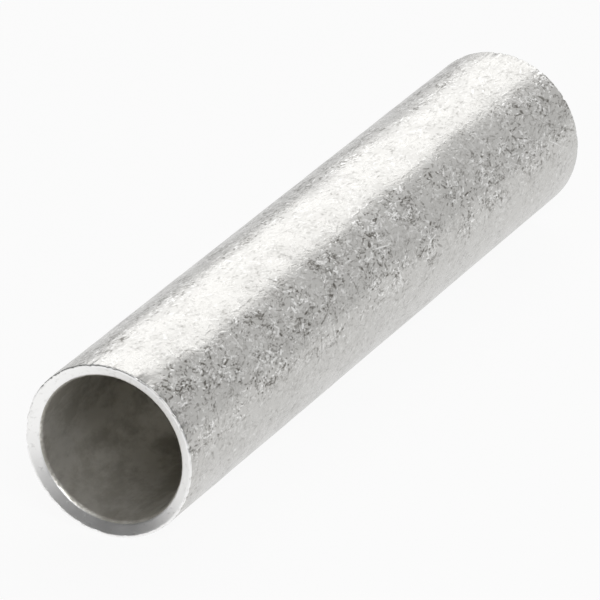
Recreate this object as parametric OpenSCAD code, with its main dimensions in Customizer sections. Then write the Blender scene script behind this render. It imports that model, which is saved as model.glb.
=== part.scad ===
// Butt splice connector: a seamless tinned copper sleeve that joins two conductors end to end.
// The sleeve stands on one end. Its bore runs along Z, and the lower end is at Z = 0.
// Lengths are in millimetres.

/* [Barrel] */
// Length of the sleeve from end to end
sleeve_length = 50; // [30:0.5:80]
// Diameter of the bore that the two conductors share
bore_diameter = 8.5; // [5:0.1:14]
// Thickness of the tube's wall
wall_thickness = 0.85; // [0.6:0.05:2]

/* [Ends] */
// How far the bevel that guides a conductor in reaches from the end
mouth_depth = 0.35; // [0.2:0.05:1]
// Radius of the rounding where the bevel runs into the bore
entry_radius = 0.35; // [0.1:0.05:0.5]
// Width of the flat ring left between the bevel and the rounded outer edge
land_width = 0.05; // [0.03:0.01:0.2]
// Radius of the rounding on the outer edge of each end
edge_radius = 0.1; // [0.05:0.01:0.3]

/* [Hidden] */
$fn = 96;
bore_radius = bore_diameter / 2;
barrel_radius = bore_radius + wall_thickness;
land_radius = barrel_radius - edge_radius;
mouth_radius = land_radius - land_width;
bevel_slope = atan(mouth_depth / (mouth_radius - bore_radius));
entry_reach = entry_radius * tan((90 - bevel_slope) / 2);

// Corner that the rounding takes off the wall, in section: X from the axis, Y from the end
module edge_rounding() {
    translate([land_radius, 0])
        difference() {
            square(edge_radius);
            translate([0, edge_radius])
                circle(edge_radius);
        }
}

// What the mouth takes off the wall, in the same section: the bevel and the rounding that
// leads from it into the bore, whose centre lies inside the wall
module mouth() {
    bevel_end = [
        bore_radius + entry_reach * cos(bevel_slope),
        mouth_depth - entry_reach * sin(bevel_slope)
    ];
    centre = [bore_radius + entry_radius, mouth_depth + entry_reach];
    difference() {
        polygon([
            [bore_radius, 0],
            [mouth_radius, 0],
            bevel_end,
            centre,
            [bore_radius, centre[1]]
        ]);
        translate(centre)
            circle(entry_radius);
    }
}

// The tube's wall in section, from end to end, with both ends dressed alike
module wall_section() {
    difference() {
        translate([bore_radius, 0])
            square([wall_thickness, sleeve_length]);
        for (upper = [0, 1])
            translate([0, upper * sleeve_length])
                mirror([0, upper]) {
                    mouth();
                    edge_rounding();
                }
    }
}

// The whole connector: the wall turned about the bore's axis
module sleeve() {
    color([0.80, 0.80, 0.79])
        rotate_extrude()
            wall_section();
}

sleeve();
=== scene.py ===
"""Blender scene of a bare butt splice connector.

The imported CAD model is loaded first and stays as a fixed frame. The sleeve's visible body
is then turned anew as one dense lathe, so that its rims, its plating and its bore carry the
small unevenness of a real one, and it stands in for the CAD solid. Lengths in the classes
below are in millimetres, and become metres where Blender takes them.
"""

import logging
import math
from collections.abc import Mapping
from dataclasses import dataclass, field
from enum import Enum
from typing import Any

import bpy
from mathutils import Matrix, Vector


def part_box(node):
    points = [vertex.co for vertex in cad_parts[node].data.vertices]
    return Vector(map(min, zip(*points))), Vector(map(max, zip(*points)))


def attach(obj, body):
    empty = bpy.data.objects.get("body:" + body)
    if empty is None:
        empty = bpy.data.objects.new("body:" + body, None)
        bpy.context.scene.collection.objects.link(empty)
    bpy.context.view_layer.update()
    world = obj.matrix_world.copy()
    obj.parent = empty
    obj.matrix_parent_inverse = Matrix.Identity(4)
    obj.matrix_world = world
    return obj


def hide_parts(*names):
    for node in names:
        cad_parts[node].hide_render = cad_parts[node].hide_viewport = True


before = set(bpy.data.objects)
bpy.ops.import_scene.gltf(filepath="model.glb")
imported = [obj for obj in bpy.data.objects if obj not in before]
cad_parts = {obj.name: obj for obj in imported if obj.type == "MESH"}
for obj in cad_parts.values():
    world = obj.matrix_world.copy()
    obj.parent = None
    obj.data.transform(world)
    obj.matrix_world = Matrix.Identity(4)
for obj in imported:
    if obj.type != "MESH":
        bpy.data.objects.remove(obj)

LOG = logging.getLogger("butt_splice")
METRES = 0.001
IMAGE_SIDE = 600
SENSOR_WIDTH = 36.0

Operand = Any
Colour = tuple[float, float, float, float]


class Wire:
    """A node's output, on which Python's operators add Math nodes."""

    def __init__(self, graph: "Graph", socket: bpy.types.NodeSocket) -> None:
        """Keep the socket together with the graph that it belongs to."""
        self.graph = graph
        self.socket = socket

    def __add__(self, other: Operand) -> "Wire":
        """This value plus another."""
        return self.graph.math("ADD", self, other)

    def __radd__(self, other: Operand) -> "Wire":
        """Another value plus this one."""
        return self.graph.math("ADD", other, self)

    def __sub__(self, other: Operand) -> "Wire":
        """This value less another."""
        return self.graph.math("SUBTRACT", self, other)

    def __rsub__(self, other: Operand) -> "Wire":
        """Another value less this one."""
        return self.graph.math("SUBTRACT", other, self)

    def __mul__(self, other: Operand) -> "Wire":
        """This value times another."""
        return self.graph.math("MULTIPLY", self, other)

    def __rmul__(self, other: Operand) -> "Wire":
        """Another value times this one."""
        return self.graph.math("MULTIPLY", other, self)

    def __truediv__(self, other: Operand) -> "Wire":
        """This value over another."""
        return self.graph.math("DIVIDE", self, other)

    def __rtruediv__(self, other: Operand) -> "Wire":
        """Another value over this one."""
        return self.graph.math("DIVIDE", other, self)

    def __abs__(self) -> "Wire":
        """This value without its sign."""
        return self.graph.math("ABSOLUTE", self)

    def within(self, low: Operand, high: Operand) -> "Wire":
        """This value held between two limits."""
        return self.graph.math("MINIMUM", self.graph.math("MAXIMUM", self, low), high)

    def step(self, start: float, end: float) -> "Wire":
        """A smooth step of this value, 0 at the start and 1 at the end."""
        return self.graph.take(
            self.graph.add(
                "ShaderNodeMapRange",
                {"interpolation_type": "SMOOTHSTEP"},
                {"Value": self, "From Min": start, "From Max": end},
            )
        )


class Graph:
    """A node tree under construction, of a material, the world or a shape."""

    def __init__(self, tree: bpy.types.NodeTree) -> None:
        """Start from an empty tree."""
        self.tree = tree
        tree.nodes.clear()

    def add(
        self,
        kind: str,
        settings: Mapping[str, Any] | None = None,
        sockets: Mapping[str | int, Any] | None = None,
    ) -> bpy.types.Node:
        """Add one node.

        Args:
            kind: The node's type.
            settings: Its properties, set first because some of them change its sockets.
            sockets: A value or a wire for each input, by name or by number.

        Returns:
            The new node.
        """
        node = self.tree.nodes.new(kind)
        for name, value in (settings or {}).items():
            setattr(node, name, value)
        for key, value in (sockets or {}).items():
            if isinstance(value, Wire):
                self.tree.links.new(value.socket, node.inputs[key])
            else:
                node.inputs[key].default_value = value
        return node

    def take(self, node: bpy.types.Node, key: str | int = 0) -> Wire:
        """One output of a node, by name or by number."""
        return Wire(self, node.outputs[key])

    def math(self, operation: str, *values: Operand) -> Wire:
        """The result of a Math node on one, two or three values."""
        return self.take(
            self.add("ShaderNodeMath", {"operation": operation}, dict(enumerate(values)))
        )

    def vector(self, operation: str, *values: Any) -> Wire:
        """The result of a Vector Math node on vectors, a number for a dot product or length."""
        node = self.add(
            "ShaderNodeVectorMath", {"operation": operation}, dict(enumerate(values))
        )
        return self.take(node, "Value" if operation in ("DOT_PRODUCT", "LENGTH") else "Vector")

    def scaled(self, vector: Wire, factor: float) -> Wire:
        """A vector times a number."""
        node = self.add(
            "ShaderNodeVectorMath", {"operation": "SCALE"}, {"Vector": vector, "Scale": factor}
        )
        return self.take(node, "Vector")

    def split(self, vector: Wire) -> tuple[Wire, Wire, Wire]:
        """The three components of a vector or a colour."""
        node = self.add("ShaderNodeSeparateXYZ", None, {0: vector})
        return self.take(node, 0), self.take(node, 1), self.take(node, 2)

    def joined(self, x: Operand, y: Operand, z: Operand) -> Wire:
        """A vector of three components."""
        return self.take(self.add("ShaderNodeCombineXYZ", None, {0: x, 1: y, 2: z}))

    def noise(self, point: Wire, size: float, detail: float = 2.0, rough: float = 0.5) -> Wire:
        """Noise between 0 and 1.

        Args:
            point: Where it is read.
            size: The width of its largest features, in the units of the point.
            detail: How many finer layers it has.
            rough: How strong each finer layer is.

        Returns:
            The noise at that point.
        """
        return self.take(
            self.add(
                "ShaderNodeTexNoise",
                {"noise_dimensions": "3D"},
                {"Vector": point, "Scale": 1 / size, "Detail": detail, "Roughness": rough},
            )
        )

    def blend(self, factor: Operand, first: Any, second: Any) -> Wire:
        """A mix of two colours."""
        node = self.add(
            "ShaderNodeMix",
            {"data_type": "RGBA", "blend_type": "MIX"},
            {0: factor, 6: first, 7: second},
        )
        return self.take(node, 2)


class Zone(Enum):
    """The sleeve's surfaces that differ in finish."""

    BARREL = "barrel"
    RIM = "rim"
    BORE = "bore"


@dataclass(frozen=True)
class Finish:
    """What all of the metal's finishes share."""

    name: str

    def shade(self, graph: Graph) -> dict[str, Any]:
        """The values and wires for the shader's sockets, by name."""
        raise NotImplementedError

    def surface_point(self, graph: Graph) -> Wire:
        """The place on the sleeve in its own frame, in millimetres."""
        place = graph.take(graph.add("ShaderNodeTexCoord"), "Object")
        return graph.scaled(place, 1 / METRES)

    def relief(self, graph: Graph, height: Wire) -> Wire:
        """The normal of a surface whose height is given in millimetres."""
        bump = graph.add("ShaderNodeBump", None, {"Distance": METRES, "Height": height})
        return graph.take(bump)

    def material(self) -> bpy.types.Material:
        """The finish as a material."""
        material = bpy.data.materials.new(self.name)
        material.use_nodes = True
        graph = Graph(material.node_tree)
        sockets = {"Metallic": 1.0, **self.shade(graph)}
        metal = graph.add("ShaderNodeBsdfPrincipled", None, sockets)
        graph.add("ShaderNodeOutputMaterial", None, {"Surface": graph.take(metal)})
        return material


@dataclass(frozen=True)
class Marks:
    """One layer of the short needle marks that tumbling leaves in tin."""

    spacing: float
    reach: float
    half_width: float
    depth: float
    seed: float

    def lay(self, graph: Graph, point: Wire, around: Wire) -> tuple[Wire, Wire]:
        """Draw the layer round the barrel.

        Args:
            graph: The material's nodes.
            point: The place on the barrel, in millimetres.
            around: The direction round the barrel there.

        Returns:
            How far the place is inside a mark, from 0 to 1, and the mark's strength, below 0
            for a sunken one, painted darker as a scuff and partly as painted shade, and above 0
            for a raised one, painted lighter as a painted glint.
        """
        shifted = graph.vector("ADD", graph.scaled(point, 1 / self.spacing), (self.seed,) * 3)
        cell = graph.add(
            "ShaderNodeTexVoronoi",
            {"voronoi_dimensions": "3D", "feature": "F1"},
            {"Vector": shifted, "Scale": 1.0, "Randomness": 1.0},
        )
        offset = graph.scaled(
            graph.vector("SUBTRACT", shifted, graph.take(cell, "Position")), self.spacing
        )
        turn, strength, longer = graph.split(graph.take(cell, "Color"))
        lengthwise = graph.split(offset)[2]
        sideways = graph.vector("DOT_PRODUCT", offset, around)
        angle = turn * math.pi
        cosine, sine = graph.math("COSINE", angle), graph.math("SINE", angle)
        along = (lengthwise * cosine + sideways * sine) / (longer * self.reach + self.reach * 0.4)
        across = (sideways * cosine - lengthwise * sine) / self.half_width
        inside = (1.0 - along * along - across * across).within(0.0, 1.0)
        return inside, strength * 2.0 - 1.1


@dataclass(frozen=True)
class Creases:
    """Short wandering lines: scuffs, partly painted shade, where they darken the plating, and
    painted glints where they lighten it.
    """

    size: float
    width: float
    seed: float

    def lay(self, graph: Graph, point: Wire) -> Wire:
        """Draw the lines, 1 along their middle and 0 beside them."""
        shifted = graph.vector("ADD", point, (self.seed,) * 3)
        level = graph.noise(shifted, self.size, detail=2.0, rough=0.6)
        line = (1.0 - abs(level - 0.5) / self.width).within(0.0, 1.0)
        return line * graph.noise(shifted, self.size * 1.6, detail=1.0).step(0.46, 0.6)


@dataclass(frozen=True)
class WearAndPaintedLightSide:
    """A side of the barrel where the marks are drawn strongest, partly as wear and partly as
    painted shade and painted glints.

    Its marks reach its share up to the inner angle from its heading, and none past the outer one.
    """

    heading: float
    inner: float
    outer: float
    share: float

    def strength(self, graph: Graph, outward: Wire, sway: Wire) -> Wire:
        """Find how strongly a place is marked.

        Args:
            graph: The material's nodes.
            outward: The direction away from the sleeve's axis there.
            sway: How far the side's border wanders there, as a change of the cosine.

        Returns:
            How strongly the marks are drawn there, wear and painted light together, from 0 to the
            side's share.
        """
        turn = math.radians(self.heading)
        facing = graph.vector("DOT_PRODUCT", outward, (math.cos(turn), math.sin(turn), 0.0))
        start, end = math.cos(math.radians(self.outer)), math.cos(math.radians(self.inner))
        return (facing + sway).step(start, end) * self.share


@dataclass(frozen=True)
class TumbledTin(Finish):
    """Bright tin plate, tumbled against its like until short strokes cover it."""

    colour: Colour = (0.574, 0.567, 0.548, 1.0)
    # Colour of the dark marks: scuffed plating, and partly painted shade in their hollows.
    scuff_and_shade_colour: Colour = (0.145, 0.136, 0.12, 1.0)
    # Colour of the light marks: painted glints.
    painted_glint_colour: Colour = (0.95, 0.948, 0.935, 1.0)
    roughness: float = 0.27
    broad_swell: float = 0.34
    swell: float = 0.024
    grain: float = 0.006
    stretch: float = 0.58
    patch_size: float = 2.4
    strokes: tuple[Marks, ...] = (
        Marks(spacing=0.46, reach=0.24, half_width=0.075, depth=0.007, seed=3.1),
        Marks(spacing=0.34, reach=0.17, half_width=0.06, depth=0.006, seed=11.7),
        Marks(spacing=0.26, reach=0.11, half_width=0.05, depth=0.004, seed=17.3),
        Marks(spacing=2.2, reach=0.7, half_width=0.05, depth=0.006, seed=23.9),
    )
    # Dark creases: scuffs, partly painted shade.
    scuff_and_shade_creases: tuple[Creases, ...] = (Creases(0.5, 0.045, 5.3), Creases(0.33, 0.05, 41.9))
    # Light creases: painted glints.
    painted_glint_creases: tuple[Creases, ...] = (Creases(0.42, 0.04, 67.1),)
    # The first three sides lie where the barrel reflects the dim room under these lamps, so their
    # marks are partly painted shade and painted glints; the last is wear on a side out of the
    # camera's view.
    wear_and_painted_light_sides: tuple[WearAndPaintedLightSide, ...] = (
        WearAndPaintedLightSide(heading=161.0, inner=4.0, outer=17.0, share=1.0),
        WearAndPaintedLightSide(heading=143.0, inner=10.0, outer=36.0, share=0.85),
        WearAndPaintedLightSide(heading=226.0, inner=9.0, outer=22.0, share=0.8),
        WearAndPaintedLightSide(heading=310.0, inner=24.0, outer=52.0, share=0.9),
    )

    def shade(self, graph: Graph) -> dict[str, Any]:
        """The plating's colour, gloss and relief."""
        point = self.surface_point(graph)
        x, y, z = graph.split(point)
        outward = graph.vector("NORMALIZE", graph.joined(x, y, 0.0))
        around = graph.vector("NORMALIZE", graph.joined(0.0 - y, x, 0.0))
        drawn_out = graph.joined(x, y, z * self.stretch)
        sway = (graph.noise(point, 3.0, detail=2.0) - 0.5) * 0.07
        # How strongly the marks are drawn: wear everywhere, and on the sides above also painted
        # shade and painted glints.
        wear_and_painted_light: Operand = 0.28
        for side in self.wear_and_painted_light_sides:
            wear_and_painted_light = graph.math("MAXIMUM", wear_and_painted_light, side.strength(graph, outward, sway))
        patches = graph.noise(point, self.patch_size, detail=2.0, rough=0.6).step(0.36, 0.62)
        wear_and_painted_light = wear_and_painted_light * (patches * 0.6 + 0.4)
        height = graph.noise(drawn_out, 5.0, detail=1.0) * self.broad_swell
        height = height + graph.noise(point, 0.9, detail=3.0) * self.swell
        height = height + graph.noise(point, 0.14, detail=1.0) * self.grain
        # Dark mottle, creases and sunken strokes: scuffs, and partly painted shade in their
        # hollows.
        scuffs_and_shade = graph.noise(drawn_out, 0.7, detail=2.0).step(0.5, 0.75) * 0.1
        # Light creases and raised strokes: painted glints in the plating's colour.
        light: Operand = 0.0
        for lines in self.scuff_and_shade_creases:
            scuffs_and_shade = scuffs_and_shade + lines.lay(graph, drawn_out)
        for lines in self.painted_glint_creases:
            light = light + lines.lay(graph, drawn_out)
        for layer in self.strokes:
            inside, strength = layer.lay(graph, drawn_out, around)
            height = height + inside * strength * layer.depth
            mark = (inside * 1.5).within(0.0, 1.0)
            scuffs_and_shade = scuffs_and_shade + mark * (strength * -2.0 - 0.6).within(0.0, 1.0)
            light = light + mark * (strength * 2.0 - 0.6).within(0.0, 1.0)
        # Scuffs and painted shade darken the colour first; painted glints then lighten it.
        scuffed_and_shaded = graph.blend((scuffs_and_shade * wear_and_painted_light * 0.9).within(0.0, 1.0), self.colour, self.scuff_and_shade_colour)
        return {
            "Base Color": graph.blend(
                (light * wear_and_painted_light * 0.95).within(0.0, 1.0), scuffed_and_shaded, self.painted_glint_colour
            ),
            "Roughness": self.roughness + (patches - 0.5) * 0.06,
            "Normal": self.relief(graph, height),
        }


@dataclass(frozen=True)
class DressedRim(Finish):
    """The bevelled mouth, cut smooth and plated, with faint rings from the cutter."""

    colour: Colour = (0.97, 0.967, 0.958, 1.0)
    speck_colour: Colour = (0.5, 0.49, 0.47, 1.0)
    roughness: float = 0.39
    ring_depth: float = 0.0006

    def shade(self, graph: Graph) -> dict[str, Any]:
        """The bevel's colour, gloss and relief."""
        point = self.surface_point(graph)
        x, y, _ = graph.split(point)
        radius = graph.math("SQRT", x * x + y * y)
        rings = graph.noise(graph.joined(radius, x * 0.03, y * 0.03), 0.06, detail=2.0)
        patches = graph.noise(point, 1.1, detail=4.0)
        specks = graph.noise(point, 0.3, detail=3.0, rough=0.6).step(0.56, 0.72)
        height = rings * self.ring_depth + patches * 0.01 - specks * 0.006
        return {
            "Base Color": graph.blend(specks * 0.25, self.colour, self.speck_colour),
            "Roughness": self.roughness + (patches - 0.5) * 0.14,
            "Normal": self.relief(graph, height),
        }


@dataclass(frozen=True)
class DrawnBore(Finish):
    """The inside of the tube: thin, dull plating over drawn copper, with stains."""

    colour: Colour = (0.9, 0.88, 0.83, 1.0)
    stain_colour: Colour = (0.58, 0.56, 0.51, 1.0)
    roughness: float = 0.38
    bare: float = 0.7

    def shade(self, graph: Graph) -> dict[str, Any]:
        """The bore's colour, gloss and relief."""
        point = self.surface_point(graph)
        x, y, z = graph.split(point)
        stains = graph.noise(graph.joined(x, y, z * 0.6), 1.9, detail=5.0, rough=0.65)
        lines = graph.noise(graph.joined(x, y, z * 0.08), 0.25, detail=2.0)
        dull = stains.step(0.36, 0.64)
        height = lines * 0.004 + stains * 0.01
        return {
            "Base Color": graph.blend(dull, self.colour, self.stain_colour),
            "Metallic": self.bare,
            "Roughness": self.roughness + dull * 0.15,
            "Normal": self.relief(graph, height),
        }


@dataclass
class Sleeve:
    """The tube that takes a conductor at each end, standing on one end with its bore along Z."""

    length: float
    outer_radius: float
    wall: float = 0.85
    mouth_depth: float = 0.35
    entry_radius: float = 0.35
    land_width: float = 0.05
    edge_radius: float = 0.1
    unevenness: float = 0.02
    nick: float = 0.06
    facets: int = 480
    rings: int = 129
    seed: float = 4.0
    finishes: Mapping[Zone, Finish] = field(
        default_factory=lambda: {
            Zone.BARREL: TumbledTin("tumbled_tin"),
            Zone.RIM: DressedRim("dressed_rim"),
            Zone.BORE: DrawnBore("drawn_bore"),
        }
    )

    def build(self) -> bpy.types.Object:
        """Turn the sleeve and dress it.

        Returns:
            The sleeve as one plain mesh object at the origin.
        """
        maker = bpy.data.objects.new("sleeve_maker", bpy.data.meshes.new("sleeve_maker"))
        bpy.context.collection.objects.link(maker)
        tree, sizes = self.lathe()
        modifier = maker.modifiers.new("lathe", "NODES")
        modifier.node_group = tree
        for identifier, value in sizes.items():
            modifier[identifier] = value
        graph = bpy.context.evaluated_depsgraph_get()
        mesh = bpy.data.meshes.new_from_object(maker.evaluated_get(graph), depsgraph=graph)
        bpy.data.objects.remove(maker)
        mesh.name = "plated_sleeve"
        sleeve = bpy.data.objects.new("plated_sleeve", mesh)
        bpy.context.collection.objects.link(sleeve)
        return sleeve

    def lathe(self) -> tuple[bpy.types.NodeTree, dict[str, Any]]:
        """The nodes that turn a flat grid into the sleeve.

        Returns:
            The tree, and the value of each of its inputs by identifier.
        """
        tree = bpy.data.node_groups.new("sleeve_lathe", "GeometryNodeTree")
        graph = Graph(tree)
        tree.interface.new_socket("Geometry", in_out="OUTPUT", socket_type="NodeSocketGeometry")
        values: dict[str, Any] = {}
        for name, value in (
            ("Length", self.length),
            ("Outer Radius", self.outer_radius),
            ("Wall", self.wall),
            ("Mouth Depth", self.mouth_depth),
            ("Entry Radius", self.entry_radius),
            ("Land Width", self.land_width),
            ("Edge Radius", self.edge_radius),
            ("Unevenness", self.unevenness),
            ("Nick", self.nick),
            ("Seed", self.seed),
            ("Facets", self.facets),
            ("Rings", self.rings),
        ):
            kind = "NodeSocketInt" if isinstance(value, int) else "NodeSocketFloat"
            socket = tree.interface.new_socket(name, in_out="INPUT", socket_type=kind)
            values[socket.identifier] = value
        inputs = graph.add("NodeGroupInput")
        sizes = {item.name: graph.take(inputs, item.name) for item in inputs.outputs if item.name}
        grid = graph.add(
            "GeometryNodeMeshGrid",
            None,
            {
                "Size X": 1.0,
                "Size Y": 2.0,
                "Vertices X": sizes["Facets"] + 1.0,
                "Vertices Y": sizes["Rings"],
            },
        )
        flat = graph.split(graph.take(graph.add("GeometryNodeInputPosition")))
        angle = (flat[0] + 0.5) * math.tau
        side = graph.math("SIGN", flat[1])
        radius, rise, inward, bore_start = self.profile(graph, sizes, abs(flat[1]))
        cosine, sine = graph.math("COSINE", angle), graph.math("SINE", angle)
        radius, rise = self.wear(
            graph, sizes, (cosine, sine, side), (radius, rise), inward, inward - bore_start
        )
        height = sizes["Length"] * 0.5 + rise * side
        place = graph.scaled(graph.joined(radius * cosine, radius * sine, height), METRES)
        stored = graph.add(
            "GeometryNodeStoreNamedAttribute",
            {"data_type": "FLOAT", "domain": "POINT"},
            {"Geometry": graph.take(grid, "Mesh"), "Name": "inward", "Value": inward},
        )
        turned = graph.add(
            "GeometryNodeSetPosition",
            None,
            {"Geometry": graph.take(stored), "Position": place},
        )
        closed = graph.add(
            "GeometryNodeMergeByDistance",
            None,
            {"Geometry": graph.take(turned), "Distance": 1e-7},
        )
        smooth = graph.add("GeometryNodeSetShadeSmooth", None, {"Geometry": graph.take(closed)})
        shape = graph.take(
            graph.add("GeometryNodeRealizeInstances", None, {"Geometry": graph.take(smooth)})
        )
        graph.add("NodeGroupOutput", None, {"Geometry": self.dress(graph, shape, bore_start)})
        return tree, values

    def dress(self, graph: Graph, shape: Wire, bore_start: Wire) -> Wire:
        """Give each zone of the turned shape its finish.

        Args:
            graph: The shape's nodes.
            shape: The turned shape, with the walk past the rim's start on its points.
            bore_start: How far past the rim's start the bore's finish starts.

        Returns:
            The shape with its materials.
        """
        stored = graph.add(
            "GeometryNodeInputNamedAttribute", {"data_type": "FLOAT"}, {"Name": "inward"}
        )
        mark = graph.take(stored)
        for zone, starts in (
            (Zone.BARREL, -self.length),
            (Zone.RIM, 0.0),
            (Zone.BORE, bore_start),
        ):
            shape = graph.take(
                graph.add(
                    "GeometryNodeSetMaterial",
                    None,
                    {
                        "Geometry": shape,
                        "Selection": graph.math("GREATER_THAN", mark, starts),
                        "Material": self.finishes[zone].material(),
                    },
                )
            )
        return shape

    def profile(
        self, graph: Graph, sizes: Mapping[str, Wire], share: Wire
    ) -> tuple[Wire, Wire, Wire, Wire]:
        """Follow the wall's outline from the barrel's middle over the rim to the bore's middle.

        The outline is a chain of straight runs and arcs. Each adds its own step for as much
        of it as the walk has covered, so the place is the sum of all the steps.

        Args:
            graph: The shape's nodes.
            sizes: The tree's inputs by name.
            share: How far along the outline, from 0 to 1, with most rings given to the rim.

        Returns:
            The radius, the rise above the sleeve's middle, how far the walk is past the start
            of the rim, and how far that is where the bore's finish starts.
        """
        half = sizes["Length"] * 0.5
        edge, entry = sizes["Edge Radius"], sizes["Entry Radius"]
        bevel_width = sizes["Wall"] - edge - sizes["Land Width"]
        slope = graph.math("ARCTAN2", sizes["Mouth Depth"], bevel_width)
        slope_cosine, slope_sine = graph.math("COSINE", slope), graph.math("SINE", slope)
        reach = entry * (1.0 - slope_sine) / slope_cosine
        barrel_run = half - edge
        edge_run = edge * (math.pi / 2)
        bevel_run = bevel_width / slope_cosine - reach
        entry_run = entry * (math.pi / 2 - slope)
        bore_run = half - sizes["Mouth Depth"] - reach
        mouth_length = edge_run + sizes["Land Width"] + bevel_run + entry_run

        barrel_share, rim_share = 0.36, 0.46
        bore_share = 1 - barrel_share - rim_share
        inward = (
            (share / barrel_share).within(0.0, 1.0) * barrel_run
            - barrel_run
            + ((share - barrel_share) / rim_share).within(0.0, 1.0) * mouth_length
            + ((share - barrel_share - rim_share) / bore_share).within(0.0, 1.0) * bore_run
        )
        land_start = edge_run
        bevel_start = land_start + sizes["Land Width"]
        entry_start = bevel_start + bevel_run
        on_barrel = (inward + barrel_run).within(0.0, barrel_run)
        edge_turn = inward.within(0.0, edge_run) / edge
        on_land = (inward - land_start).within(0.0, sizes["Land Width"])
        on_bevel = (inward - bevel_start).within(0.0, bevel_run)
        entry_turn = slope + (inward - entry_start).within(0.0, entry_run) / entry
        on_bore = (inward - mouth_length).within(0.0, bore_run)
        radius = (
            sizes["Outer Radius"]
            - edge * (1.0 - graph.math("COSINE", edge_turn))
            - on_land
            - on_bevel * slope_cosine
            - entry * (graph.math("SINE", entry_turn) - slope_sine)
        )
        rise = (
            on_barrel
            + edge * graph.math("SINE", edge_turn)
            - on_bevel * slope_sine
            - entry * (slope_cosine - graph.math("COSINE", entry_turn))
            - on_bore
        )
        rim_over_entry = 0.2
        return radius, rise, inward, entry_start + entry_run * rim_over_entry

    def wear(
        self,
        graph: Graph,
        sizes: Mapping[str, Wire],
        bearing: tuple[Wire, Wire, Wire],
        outline: tuple[Wire, Wire],
        inward: Wire,
        past_lip: Wire,
    ) -> tuple[Wire, Wire]:
        """Take the small unevenness of a cut and tumbled tube off the outline.

        Args:
            graph: The shape's nodes.
            sizes: The tree's inputs by name.
            bearing: The cosine and sine of the angle round the axis, and which end it is.
            outline: The outline's radius, and its rise above the sleeve's middle.
            inward: How far past the start of the rim.
            past_lip: How far past the place where the rim's finish meets the bore's.

        Returns:
            The worn radius and rise.
        """
        cosine, sine, side = bearing
        radius, rise = outline
        apart = side * 3.0 + sizes["Seed"]
        ring = graph.joined(cosine * 5.0, sine * 5.0, apart)
        surface = graph.joined(radius * cosine, radius * sine, rise * side + sizes["Seed"])
        waves = (
            graph.noise(surface, 6.0, detail=1.0) + graph.noise(surface, 2.2, detail=0.0) * 1.4
        ) * sizes["Unevenness"]
        dents = graph.noise(ring, 0.3, detail=2.0, rough=0.6).step(0.5, 0.72)
        on_edge = 1.0 - abs(inward - 0.08).step(0.03, 0.22)
        rolled = graph.noise(ring, 2.2, detail=1.0).step(0.45, 0.6)
        behind_edge = 1.0 - abs(inward + 0.16).step(0.0, 0.14)
        outside = 1.0 - inward.step(0.0, 0.15)
        burr = graph.noise(ring, 0.26, detail=2.0, rough=0.7).step(0.42, 0.68)
        on_lip = 1.0 - abs(past_lip - 0.15).step(0.0, 0.18)
        worn_radius = (
            radius
            - waves * outside
            - dents * on_edge * sizes["Nick"]
            - rolled * behind_edge * sizes["Nick"] * 0.5
            + burr * on_lip * sizes["Nick"] * 0.5
        )
        return worn_radius, rise - dents * on_edge * sizes["Nick"] * 0.6


@dataclass(frozen=True)
class TableFrame:
    """The table that the sleeve lies on for its picture, set along the standing sleeve's side.

    X runs along the sleeve from its near, upper end to its far end, Y to the left and Z up
    from the table. The origin is on the table, under the sleeve's middle.
    """

    half_length: float
    barrel_radius: float
    facing: float = 292.5

    def axes(self) -> Matrix:
        """The table's X, Y and Z as the columns of a turn into the sleeve's frame."""
        turn = math.radians(self.facing)
        up = Vector((math.sin(turn), -math.cos(turn), 0.0))
        left = Vector((math.cos(turn), math.sin(turn), 0.0))
        along = Vector((0.0, 0.0, -1.0))
        return Matrix((along, left, up)).transposed()

    def place(self, x: float, y: float, z: float) -> Vector:
        """A point of the table's frame, as a place in the sleeve's frame in metres."""
        middle = Vector((0.0, 0.0, self.half_length))
        return (middle + self.axes() @ Vector((x, y, z - self.barrel_radius))) * METRES

    def pointing(self, right: Vector, back: Vector) -> Matrix:
        """A turn whose X is right and whose Z is back, both given in the table's frame."""
        across = (right - right.dot(back) * back).normalized()
        columns = (across, back.cross(across), back)
        return (self.axes() @ Matrix(columns).transposed()).to_4x4()


@dataclass(frozen=True)
class SoftBox:
    """An even rectangle of light that faces the sleeve."""

    name: str
    azimuth: float
    elevation: float
    distance: float
    width: float
    height: float
    radiance: float

    def build(self, table: TableFrame) -> None:
        """Hang the lamp, at an angle to the left of the far direction and above the table."""
        around, above = math.radians(self.azimuth), math.radians(self.elevation)
        back = Vector(
            (
                math.cos(above) * math.cos(around),
                math.cos(above) * math.sin(around),
                math.sin(above),
            )
        )
        lamp = bpy.data.lights.new(self.name, "AREA")
        lamp.shape = "RECTANGLE"
        lamp.size = self.width * METRES
        lamp.size_y = self.height * METRES
        lamp.energy = self.radiance * math.pi * lamp.size * lamp.size_y
        holder = bpy.data.objects.new(self.name, lamp)
        bpy.context.collection.objects.link(holder)
        right = Vector((-math.sin(around), math.cos(around), 0.0))
        hung = table.place(*(back * self.distance + Vector((0.0, 0.0, table.barrel_radius))))
        holder.matrix_world = Matrix.Translation(hung) @ table.pointing(right, back)
        holder.visible_camera = False


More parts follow.
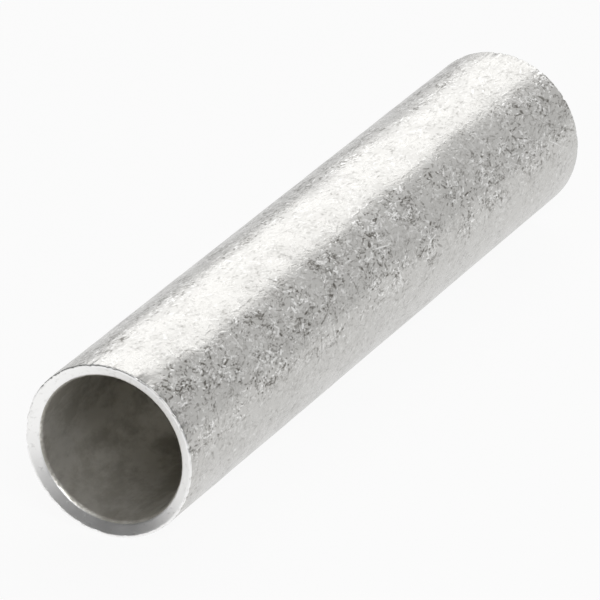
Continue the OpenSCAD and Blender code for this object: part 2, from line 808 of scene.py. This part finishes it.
@dataclass(frozen=True)
class Studio:
    """The pale table, the soft lamps and the dim room in front of them."""

    table: TableFrame
    table_side: float = 420.0
    table_colour: Colour = (0.92, 0.92, 0.915, 1.0)
    glow: float = 0.92
    glow_reach: float = 110.0
    white: Colour = (1.0, 1.0, 1.0, 1.0)
    room_behind: float = 0.792
    room_in_front: float = 0.108
    lamps: tuple[SoftBox, ...] = (
        SoftBox("back_left_lamp", 18.0, 31.0, 400.0, 322.0, 268.0, 0.95),
        SoftBox("overhead_lamp", 90.0, 84.0, 420.0, 380.0, 380.0, 0.6),
        SoftBox("front_lamp", -138.0, 40.0, 400.0, 180.0, 120.0, 6.6),
    )

    def build(self) -> bpy.types.Object:
        """Set the table, the lamps and the room's light.

        Returns:
            The table.
        """
        half = self.table_side / 2
        mesh = bpy.data.meshes.new("table")
        corners = ((-half, -half), (half, -half), (half, half), (-half, half))
        mesh.from_pydata([self.table.place(x, y, 0.0) for x, y in corners], [], [(0, 1, 2, 3)])
        mesh.materials.append(self.table_top())
        top = bpy.data.objects.new("table", mesh)
        bpy.context.collection.objects.link(top)
        for lamp in self.lamps:
            lamp.build(self.table)
        self.room()
        return top

    def table_top(self) -> bpy.types.Material:
        """Pale paper that glows round the sleeve, clear where the camera sees it from below."""
        material = bpy.data.materials.new("table_paper")
        material.use_nodes = True
        graph = Graph(material.node_tree)
        ray = graph.add("ShaderNodeLightPath")
        seen = graph.take(ray, "Is Camera Ray")
        shown = seen + graph.take(ray, "Is Glossy Ray") + graph.take(ray, "Is Transmission Ray")
        spot = graph.take(graph.add("ShaderNodeTexCoord"), "Object")
        offset = graph.vector("SUBTRACT", spot, tuple(self.table.place(0.0, 0.0, 0.0)))
        away = graph.vector("LENGTH", offset) / (self.glow_reach * METRES)
        glow = (1.0 - away.step(0.9, 1.7)) * self.glow
        paper = graph.add("ShaderNodeBsdfDiffuse", None, {"Color": self.table_colour})
        light = graph.add("ShaderNodeEmission", None, {"Color": self.white, "Strength": 1.0})
        lit = graph.add(
            "ShaderNodeMixShader",
            None,
            {0: shown.within(0.0, 1.0) * glow, 1: graph.take(paper), 2: graph.take(light)},
        )
        below = graph.take(graph.add("ShaderNodeNewGeometry"), "Backfacing")
        clear = graph.add("ShaderNodeBsdfTransparent")
        either = graph.add(
            "ShaderNodeMixShader",
            None,
            {0: seen * below, 1: graph.take(lit), 2: graph.take(clear)},
        )
        graph.add("ShaderNodeOutputMaterial", None, {"Surface": graph.take(either)})
        return material

    def room(self) -> None:
        """Grey light from all round, dimmer from in front of the sleeve's near end."""
        world = bpy.data.worlds.new("room")
        world.use_nodes = True
        bpy.context.scene.world = world
        graph = Graph(world.node_tree)
        ray = graph.take(graph.add("ShaderNodeTexCoord"), "Generated")
        far = graph.vector("DOT_PRODUCT", ray, tuple(self.table.axes().col[0]))
        front, behind = (
            graph.take(
                graph.add("ShaderNodeBackground", None, {"Color": self.white, "Strength": level})
            )
            for level in (self.room_in_front, self.room_behind)
        )
        share = far.step(0.3, 0.75)
        light = graph.add("ShaderNodeMixShader", None, {0: share, 1: front, 2: behind})
        graph.add("ShaderNodeOutputWorld", None, {"Surface": graph.take(light)})


@dataclass(frozen=True)
class PictureCamera:
    """The camera, where a fit to the picture's outline, rims and bore puts it."""

    table: TableFrame
    place: tuple[float, float, float] = (-313.784, -156.523, 161.514)
    forward: tuple[float, float, float] = (0.815321, 0.409168, -0.409674)
    right: tuple[float, float, float] = (0.448535, -0.893765, 0.0)
    focal_pixels: float = 6739.0

    def build(self) -> bpy.types.Object:
        """Set the camera up and make it the scene's own."""
        data = bpy.data.cameras.new("picture_camera")
        data.sensor_width = SENSOR_WIDTH
        data.lens = self.focal_pixels / IMAGE_SIDE * SENSOR_WIDTH
        data.clip_start, data.clip_end = 0.01, 10.0
        camera = bpy.data.objects.new("picture_camera", data)
        bpy.context.collection.objects.link(camera)
        turn = self.table.pointing(Vector(self.right), -Vector(self.forward))
        camera.matrix_world = Matrix.Translation(self.table.place(*self.place)) @ turn
        bpy.context.scene.camera = camera
        return camera


def main() -> None:
    """Build the sleeve, its table and its camera."""
    logging.basicConfig(level=logging.INFO, format="%(name)s: %(message)s")
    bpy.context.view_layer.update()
    bpy.context.scene.view_settings.view_transform = "Standard"
    low, high = (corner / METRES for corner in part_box("sleeve"))
    length, outer_radius = high.z - low.z, (high.x - low.x) / 2
    table = TableFrame(length / 2, outer_radius)
    sleeve = Sleeve(length, outer_radius).build()
    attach(sleeve, "root")
    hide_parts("sleeve")
    LOG.info("%s: %d faces", sleeve.name, len(sleeve.data.polygons))
    table_top = Studio(table).build()
    LOG.info("%s: stage", table_top.name)
    camera = PictureCamera(table).build()
    LOG.info("%s: %.1f mm lens", camera.name, camera.data.lens)


if __name__ == "__main__":
    main()
